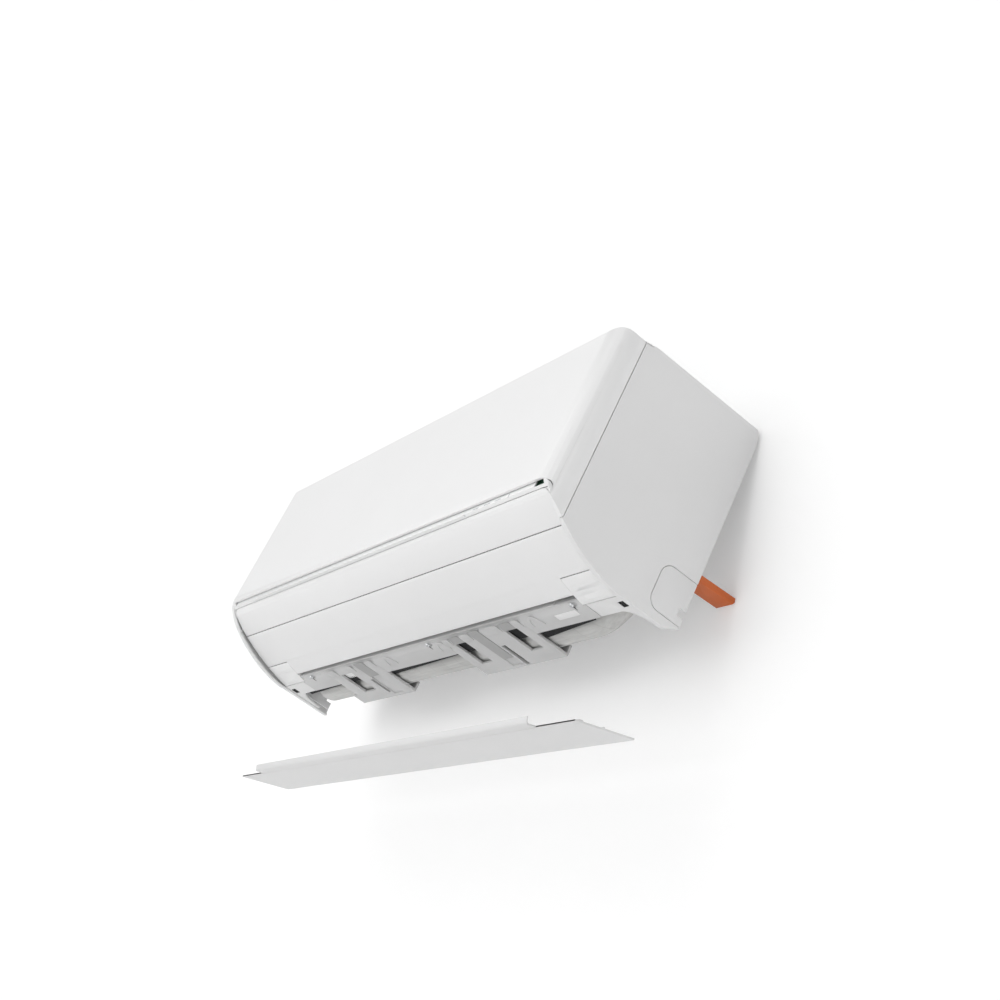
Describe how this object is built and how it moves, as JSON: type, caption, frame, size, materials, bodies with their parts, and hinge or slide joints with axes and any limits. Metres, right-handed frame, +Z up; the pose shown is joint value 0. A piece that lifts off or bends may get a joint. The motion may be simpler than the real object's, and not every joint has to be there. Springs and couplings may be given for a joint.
{
  "type": "mini split indoor unit",
  "caption": "Wall-hung mini split indoor unit hanging on its wall plate, swung out on a folding stand, with its bottom cover taken off and hanging level below it.",
  "frame": {"origin": "on the wall plane, 123 mm below the hung unit's top line and midway between its ends, on the wall plate's rear face", "axes": "+X to the right as seen from the room, +Y into the wall, +Z up; the unit itself leans out at its bottom by 15.7 degrees about its hooks"},
  "size_m": [0.87, 0.2558, 0.4397],
  "materials": {
    "panel_plastic": "satin white moulding",
    "casing_plastic": "fine-textured white moulding",
    "base_plastic": "plain pale grey moulding",
    "inner_plastic": "plain moulding",
    "black_plastic": "plain black moulding",
    "filter_net": "fine net in a moulded tray",
    "fin_stack": "closely stacked fins",
    "zinc_sheet": "zinc-coated sheet",
    "bright_steel": "bright plated",
    "copper": "drawn copper tube",
    "foam_wrap": "foam sleeve wound with tape",
    "board_green": "lacquered circuit board",
    "orange_plastic": "plain orange moulding"
  },
  "bodies": {
    "wall_plate": {"mounting_plate": "zinc_sheet"},
    "unit": {"cabinet_shell": "casing_plastic", "left_side_cap": "casing_plastic", "right_side_cap": "casing_plastic", "front_frame": "base_plastic", "display_strip": "panel_plastic", "display_board": "board_green", "left_end_block": "casing_plastic", "right_end_block": "casing_plastic", "chassis_frame": "base_plastic", "drain_pan": "base_plastic", "front_coil": "fin_stack", "upper_coil": "fin_stack", "rear_coil": "fin_stack", "left_coil_plate": "zinc_sheet", "right_coil_plate": "zinc_sheet", "fan_bearing": "black_plastic", "fan_motor": "zinc_sheet", "motor_clamp": "base_plastic", "intake_grille": "casing_plastic", "left_vane_motor": "bright_steel", "right_vane_motor": "bright_steel", "lower_flap_motor": "bright_steel", "control_box": "zinc_sheet", "control_board": "board_green", "control_cover": "zinc_sheet", "terminal_block": "inner_plastic", "outlet_lip": "base_plastic", "left_pipe_bracket": "base_plastic", "centre_pipe_bracket": "base_plastic", "right_pipe_bracket": "base_plastic", "left_lip_screw": "bright_steel", "centre_lip_screw": "bright_steel", "right_lip_screw": "bright_steel", "pipe_bundle": "foam_wrap", "gas_pipe": "copper", "liquid_pipe": "copper", "drain_hose": "foam_wrap", "stand_bracket": "base_plastic"},
    "panel": {"front_panel": "panel_plastic"},
    "upper_vane": {"upper_flap": "panel_plastic"},
    "lower_vane": {"lower_flap": "panel_plastic"},
    "fan": {"fan_rotor": "black_plastic", "fan_shaft": "bright_steel"},
    "button": {"service_button": "inner_plastic"},
    "filter_left": {"left_filter": "filter_net"},
    "filter_right": {"right_filter": "filter_net"},
    "stand": {"support_stand": "orange_plastic"},
    "cover": {"bottom_cover": "casing_plastic"},
    "blade_1": {"vane_1": "inner_plastic"},
    "blade_2": {"vane_2": "inner_plastic"},
    "blade_3": {"vane_3": "inner_plastic"},
    "blade_4": {"vane_4": "inner_plastic"},
    "blade_5": {"vane_5": "inner_plastic"},
    "blade_6": {"vane_6": "inner_plastic"},
    "blade_7": {"vane_7": "inner_plastic"},
    "blade_8": {"vane_8": "inner_plastic"},
    "left_link": {"left_vane_link": "inner_plastic"},
    "right_link": {"right_vane_link": "inner_plastic"}
  },
  "joints": [
    {"name": "unit_swing", "type": "hinge", "parent": "wall_plate", "child": "unit", "pos_m": [0, -0.0047, 0.114], "axis": [1, 0, 0], "range_deg": [0, 15.7]},
    {"name": "panel_hinge", "type": "hinge", "parent": "unit", "child": "panel", "pos_m": [0, -0.16064, 0.16417], "axis": [-1, 0, 0], "range_deg": [0, 60]},
    {"name": "upper_flap_hinge", "type": "hinge", "parent": "unit", "child": "upper_vane", "pos_m": [0, -0.24907, -0.03426], "axis": [-1, 0, 0], "range_deg": [0, 60]},
    {"name": "lower_flap_hinge", "type": "hinge", "parent": "unit", "child": "lower_vane", "pos_m": [0, -0.16005, -0.11001], "axis": [1, 0, 0], "range_deg": [0, 65]},
    {"name": "fan_spin", "type": "hinge", "parent": "unit", "child": "fan", "pos_m": [0, -0.13965, -0.00284], "axis": [1, 0, 0], "continuous": true},
    {"name": "service_button_push", "type": "slide", "parent": "unit", "child": "button", "axis": [0, 0.9627, -0.2706], "range_m": [0, 0.0012], "stiffness_N_per_m": 400, "springref_m": -0.0008},
    {"name": "left_filter_slide", "type": "slide", "parent": "unit", "child": "filter_left", "axis": [0, 0.2706, 0.9627], "range_m": [0, 0.06]},
    {"name": "right_filter_slide", "type": "slide", "parent": "unit", "child": "filter_right", "axis": [0, 0.2706, 0.9627], "range_m": [0, 0.06]},
    {"name": "stand_fold", "type": "hinge", "parent": "unit", "child": "stand", "pos_m": [0.418, -0.06617, -0.06661], "axis": [1, 0, 0], "range_deg": [0, 84]},
    {"name": "cover_swing", "type": "hinge", "parent": "unit", "child": "cover", "pos_m": [0, 0.34087, -0.30285], "axis": [-1, 0, 0], "range_deg": [0, 15.7]},
    {"name": "vane_1_turn", "type": "hinge", "parent": "unit", "child": "blade_1", "pos_m": [-0.32011, -0.16521, -0.06421], "axis": [0, 0.9627, -0.2706], "range_deg": [-35, 35]},
    {"name": "vane_2_turn", "type": "hinge", "parent": "unit", "child": "blade_2", "pos_m": [-0.23632, -0.16521, -0.06421], "axis": [0, 0.9627, -0.2706], "range_deg": [-35, 35]},
    {"name": "vane_3_turn", "type": "hinge", "parent": "unit", "child": "blade_3", "pos_m": [-0.15253, -0.16521, -0.06421], "axis": [0, 0.9627, -0.2706], "range_deg": [-35, 35]},
    {"name": "vane_4_turn", "type": "hinge", "parent": "unit", "child": "blade_4", "pos_m": [-0.06874, -0.16521, -0.06421], "axis": [0, 0.9627, -0.2706], "range_deg": [-35, 35]},
    {"name": "vane_5_turn", "type": "hinge", "parent": "unit", "child": "blade_5", "pos_m": [0.01504, -0.16521, -0.06421], "axis": [0, 0.9627, -0.2706], "range_deg": [-35, 35]},
    {"name": "vane_6_turn", "type": "hinge", "parent": "unit", "child": "blade_6", "pos_m": [0.09883, -0.16521, -0.06421], "axis": [0, 0.9627, -0.2706], "range_deg": [-35, 35]},
    {"name": "vane_7_turn", "type": "hinge", "parent": "unit", "child": "blade_7", "pos_m": [0.18262, -0.16521, -0.06421], "axis": [0, 0.9627, -0.2706], "range_deg": [-35, 35]},
    {"name": "vane_8_turn", "type": "hinge", "parent": "unit", "child": "blade_8", "pos_m": [0.26641, -0.16521, -0.06421], "axis": [0, 0.9627, -0.2706], "range_deg": [-35, 35]},
    {"name": "left_link_slide", "type": "slide", "parent": "unit", "child": "left_link", "axis": [1, 0, 0], "range_m": [-0.00489, 0.00489]},
    {"name": "right_link_slide", "type": "slide", "parent": "unit", "child": "right_link", "axis": [1, 0, 0], "range_m": [-0.00489, 0.00489]}
  ],
  "couplings": [
    {"joint": "vane_1_turn", "follows": "left_link_slide", "rad_per_m": -125},
    {"joint": "vane_2_turn", "follows": "left_link_slide", "rad_per_m": -125},
    {"joint": "vane_3_turn", "follows": "left_link_slide", "rad_per_m": -125},
    {"joint": "vane_4_turn", "follows": "left_link_slide", "rad_per_m": -125},
    {"joint": "vane_5_turn", "follows": "right_link_slide", "rad_per_m": -125},
    {"joint": "vane_6_turn", "follows": "right_link_slide", "rad_per_m": -125},
    {"joint": "vane_7_turn", "follows": "right_link_slide", "rad_per_m": -125},
    {"joint": "vane_8_turn", "follows": "right_link_slide", "rad_per_m": -125}
  ]
}
